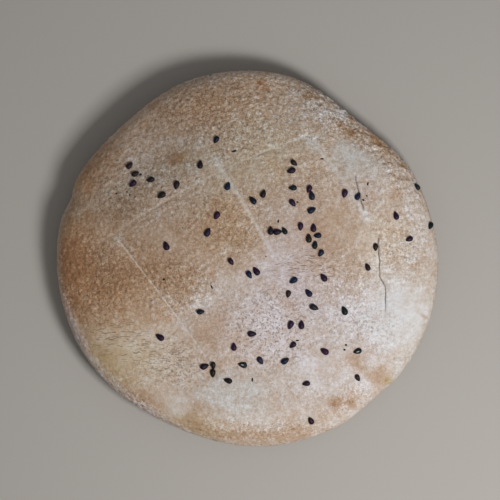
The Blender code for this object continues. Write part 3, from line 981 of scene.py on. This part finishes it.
crust_tree = BVHTree.FromPolygons(
    [v.co.copy() for v in crust_mesh.vertices],
    [tuple(p.vertices) for p in crust_mesh.polygons],
)


def drop(place):
    """Point and normal of the crust under a place of the plan."""
    start = Vector((place[0] - middle.x, place[1] - middle.y, 2 * CROWN_HEIGHT))
    point, normal, _, _ = crust_tree.ray_cast(start, Vector((0, 0, -1)))
    return point, normal


def laid_on(place, heading, size, lift):
    """The placing of a small thing that lies on the crust, with its length along the heading."""
    on_crust, normal = drop(place)
    upright = Vector((0, 0, 1)).rotation_difference(normal).to_matrix().to_4x4()
    turned = upright @ Matrix.Rotation(heading, 4, "Z")
    return Matrix.Translation(on_crust) @ turned @ Matrix.Translation((0, 0, lift)) @ Matrix.Scale(size, 4)


seeds = bmesh.new()
coat = seeds.verts.layers.float_color.new("coat")
tints = random.Random(SEED_DRAW)
for number, (place, heading, size) in enumerate(seed_places()):
    shade, other = (Vector(tints.choice(SEED_COATS)) for _ in range(2))
    shade = shade.lerp(other, tints.uniform(0, COAT_BLEND)) * tints.uniform(*COAT_SHADES)
    made = bmesh.ops.create_uvsphere(
        seeds, u_segments=SEED_SIDES, v_segments=SEED_RINGS, radius=1, matrix=RIDGE_UP
    )["verts"]
    for vert in made:
        along = vert.co.z
        slim = 1 - SEED_TAPER * along
        across, up = vert.co.x * slim, vert.co.y * slim
        if up > abs(across):
            up *= 1 + SEED_RIDGE
        own = Vector((0, 0, SEED_WRINKLE_STEP * number))
        wrinkle = 1 + SEED_WRINKLE * noise.noise(vert.co / SEED_WRINKLE_LENGTH + own)
        vert.co = Vector((along * SEED_LENGTH, across * SEED_WIDTH, up * SEED_HEIGHT)) / 2 * wrinkle
        vert[coat] = (*shade, 1)
    lies = laid_on(place, heading, size, SEED_HEIGHT * (0.5 - SEED_SUNK))
    bmesh.ops.recalc_face_normals(seeds, faces=list({f for v in made for f in v.link_faces}))
    bmesh.ops.transform(seeds, matrix=lies, verts=made)
    if any((place - Vector(spot) * MM).length < SPLIT_REACH for spot in SPLIT_SEEDS):
        kernel = bmesh.ops.create_icosphere(seeds, subdivisions=2, radius=1)["verts"]
        shape = Matrix.Translation(KERNEL_PLACE) @ Matrix.Diagonal((*KERNEL_SHAPE, 1))
        bmesh.ops.transform(seeds, matrix=lies @ shape, verts=kernel)
        for vert in kernel:
            vert[coat] = (*KERNEL, 1)
seeds_mesh = bpy.data.meshes.new("nigella_seeds")
seeds.to_mesh(seeds_mesh)
seeds.free()
seeds_mesh.shade_smooth()
nigella_seeds = bpy.data.objects.new("nigella_seeds", seeds_mesh)
bpy.context.scene.collection.objects.link(nigella_seeds)

COAT_GRAIN = (0.25 * MM, 3.0, 0.6)
COAT_LEVELS = (0.3, 0.7)
COAT_PITS = ((0.45, 0.45, 0.45), (1.6, 1.6, 1.6))
COAT_ROUGHNESS = (0.4, 0.62)
COAT_SPECULAR = 0.24
COAT_BUMP = 0.05 * MM
coated = bpy.data.materials.new("nigella_coat")
coated.use_nodes = True
tree = coated.node_tree
shader = tree.nodes["Principled BSDF"]
place = shader_node(tree, "TexCoord", {}).outputs["Object"]
shade = shader_node(tree, "Attribute", {}, attribute_name="coat").outputs["Color"]
pitted = cloud(tree, place, *COAT_GRAIN)
pits = ramp(tree, pitted, list(zip(COAT_LEVELS, COAT_PITS)))
colour = mixed(tree, 1.0, shade, pits, "MULTIPLY")
tree.links.new(colour, shader.inputs["Base Color"])
roughness = spread_over(tree, pitted, *COAT_LEVELS, *COAT_ROUGHNESS)
tree.links.new(roughness, shader.inputs["Roughness"])
shader.inputs["Specular IOR Level"].default_value = COAT_SPECULAR
bump = shader_node(tree, "Bump", {"Height": pitted, "Distance": COAT_BUMP, "Strength": 1.0})
tree.links.new(bump.outputs["Normal"], shader.inputs["Normal"])
seeds_mesh.materials.append(coated)
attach(nigella_seeds, "root")
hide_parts("flatbread")


# Scraps of the same seeds, broken before they were scattered: black crumbs and slivers lying on the crust.
# Each has its place in millimetres from the middle, its length and width in millimetres and its direction.
SEED_SCRAPS = (
    ((-4.4, 36.0), 1.9, 0.6, 11),
    ((25.4, 33.4), 1.3, 0.5, 0),
    ((-44.4, 21.6), 0.7, 0.6, 30),
    ((-44.6, 23.9), 0.5, 0.4, 0),
    ((-40.9, 22.2), 0.5, 0.45, 0),
    ((-39.9, 21.1), 0.6, 0.5, 40),
    ((40.9, 24.9), 1.3, 0.5, 75),
    ((40.6, 20.8), 0.8, 0.45, -35),
    ((39.4, 19.4), 0.9, 0.6, -30),
    ((10.5, 12.2), 1.2, 0.6, 85),
    ((6.3, 0.3), 0.5, 0.45, 0),
    ((-12.1, -10.1), 1.6, 0.5, -68),
    ((17.0, -28.3), 1.2, 0.5, 0),
    ((1.7, -41.6), 1.4, 0.6, 90),
    ((33.5, -29.8), 0.8, 0.7, 10),
    ((33.0, -31.4), 0.85, 0.7, -30),
    ((-12.7, 61.9), 0.8, 0.45, 5),
    ((-9.4, 45.3), 0.45, 0.4, 0),
    ((-26.9, 40.1), 0.45, 0.4, 0),
    ((17.0, 18.7), 0.7, 0.55, 0),
    ((-36.3, 28.1), 1.0, 0.6, 35),
    ((14.0, 29.0), 0.7, 0.4, 20),
    ((-21.9, 10.0), 0.5, 0.4, 90),
    ((-28.3, -7.5), 0.9, 0.8, 0),
)
SCRAP_UNEVENNESS = 0.3
SCRAP_BUMPS = 3
SCRAP_STEP = 5
SCRAP_FLATNESS = 0.6
SCRAP_RISE = 0.12
BROKEN_COAT = (0.012, 0.008, 0.008)
scraps = bmesh.new()
coat = scraps.verts.layers.float_color.new("coat")
for number, (spot, length, width, lies) in enumerate(SEED_SCRAPS):
    made = bmesh.ops.create_icosphere(scraps, subdivisions=2, radius=0.5)["verts"]
    for vert in made:
        own = Vector((SCRAP_STEP * number, 0, 0))
        vert.co *= 1 + SCRAP_UNEVENNESS * noise.noise(vert.co * SCRAP_BUMPS + own)
        vert[coat] = (*BROKEN_COAT, 1)
    shape = Matrix.Diagonal((length * MM, width * MM, SCRAP_FLATNESS * width * MM, 1))
    lying = laid_on(Vector(spot) * MM, math.radians(lies), 1.0, SCRAP_RISE * width * MM)
    bmesh.ops.transform(scraps, matrix=lying @ shape, verts=made)
scraps_mesh = bpy.data.meshes.new("seed_scraps")
scraps.to_mesh(scraps_mesh)
scraps.free()
scraps_mesh.shade_smooth()
scraps_mesh.materials.append(coated)
seed_scraps = bpy.data.objects.new("seed_scraps", scraps_mesh)
bpy.context.scene.collection.objects.link(seed_scraps)
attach(seed_scraps, "root")


# The floor under it, the light and the camera: a plain pale floor, soft light from the low right, and the
# camera straight above the bread with a long lens
FLOOR_COLOUR = (0.43, 0.41, 0.385)
FLOOR_ROUGHNESS = 0.9
FLOOR_HALF = 1.5
floor_grid = bmesh.new()
bmesh.ops.create_grid(floor_grid, x_segments=1, y_segments=1, size=FLOOR_HALF)
floor_mesh = bpy.data.meshes.new("floor")
floor_grid.to_mesh(floor_mesh)
floor_grid.free()
floor = bpy.data.objects.new("floor", floor_mesh)
bpy.context.scene.collection.objects.link(floor)
pale = bpy.data.materials.new("pale_floor")
pale.use_nodes = True
pale.node_tree.nodes["Principled BSDF"].inputs["Base Color"].default_value = (*FLOOR_COLOUR, 1)
pale.node_tree.nodes["Principled BSDF"].inputs["Roughness"].default_value = FLOOR_ROUGHNESS
floor_mesh.materials.append(pale)

ROOM_COLOUR = (1.0, 0.99, 0.98, 1)
ROOM_STRENGTH = 0.25
world = bpy.data.worlds.new("room")
world.use_nodes = True
world.node_tree.nodes["Background"].inputs["Color"].default_value = ROOM_COLOUR
world.node_tree.nodes["Background"].inputs["Strength"].default_value = ROOM_STRENGTH
bpy.context.scene.world = world

LAMP_AZIMUTH = math.radians(-43)
LAMP_ELEVATION = math.radians(54)
LAMP_DISTANCE = 0.5
LAMP_SIZE = 0.15
LAMP_POWER = 1.75
LAMP_COLOUR = (1.0, 0.985, 0.965)
to_lamp = Vector(
    (
        math.cos(LAMP_AZIMUTH) * math.cos(LAMP_ELEVATION),
        math.sin(LAMP_AZIMUTH) * math.cos(LAMP_ELEVATION),
        math.sin(LAMP_ELEVATION),
    )
)
lamp_light = bpy.data.lights.new("key", "AREA")
lamp_light.size = LAMP_SIZE
lamp_light.energy = LAMP_POWER
lamp_light.color = LAMP_COLOUR
lamp = bpy.data.objects.new("key", lamp_light)
lamp.location = to_lamp * LAMP_DISTANCE
lamp.rotation_mode = "QUATERNION"
lamp.rotation_quaternion = to_lamp.to_track_quat("Z", "Y")
bpy.context.scene.collection.objects.link(lamp)

PICTURE_WIDTH = 170.4 * MM
PICTURE_MIDDLE = Vector((0.9, 2.46)) * MM
CAMERA_HEIGHT = 3.0
SENSOR = 36
camera_data = bpy.data.cameras.new("camera")
camera_data.sensor_width = SENSOR
camera_data.lens = SENSOR * (CAMERA_HEIGHT - WIDEST_HEIGHT) / PICTURE_WIDTH
camera = bpy.data.objects.new("camera", camera_data)
camera.location = (PICTURE_MIDDLE.x - middle.x, PICTURE_MIDDLE.y - middle.y, CAMERA_HEIGHT)
bpy.context.scene.collection.objects.link(camera)
bpy.context.scene.camera = camera
bpy.context.scene.view_settings.view_transform = "Standard"
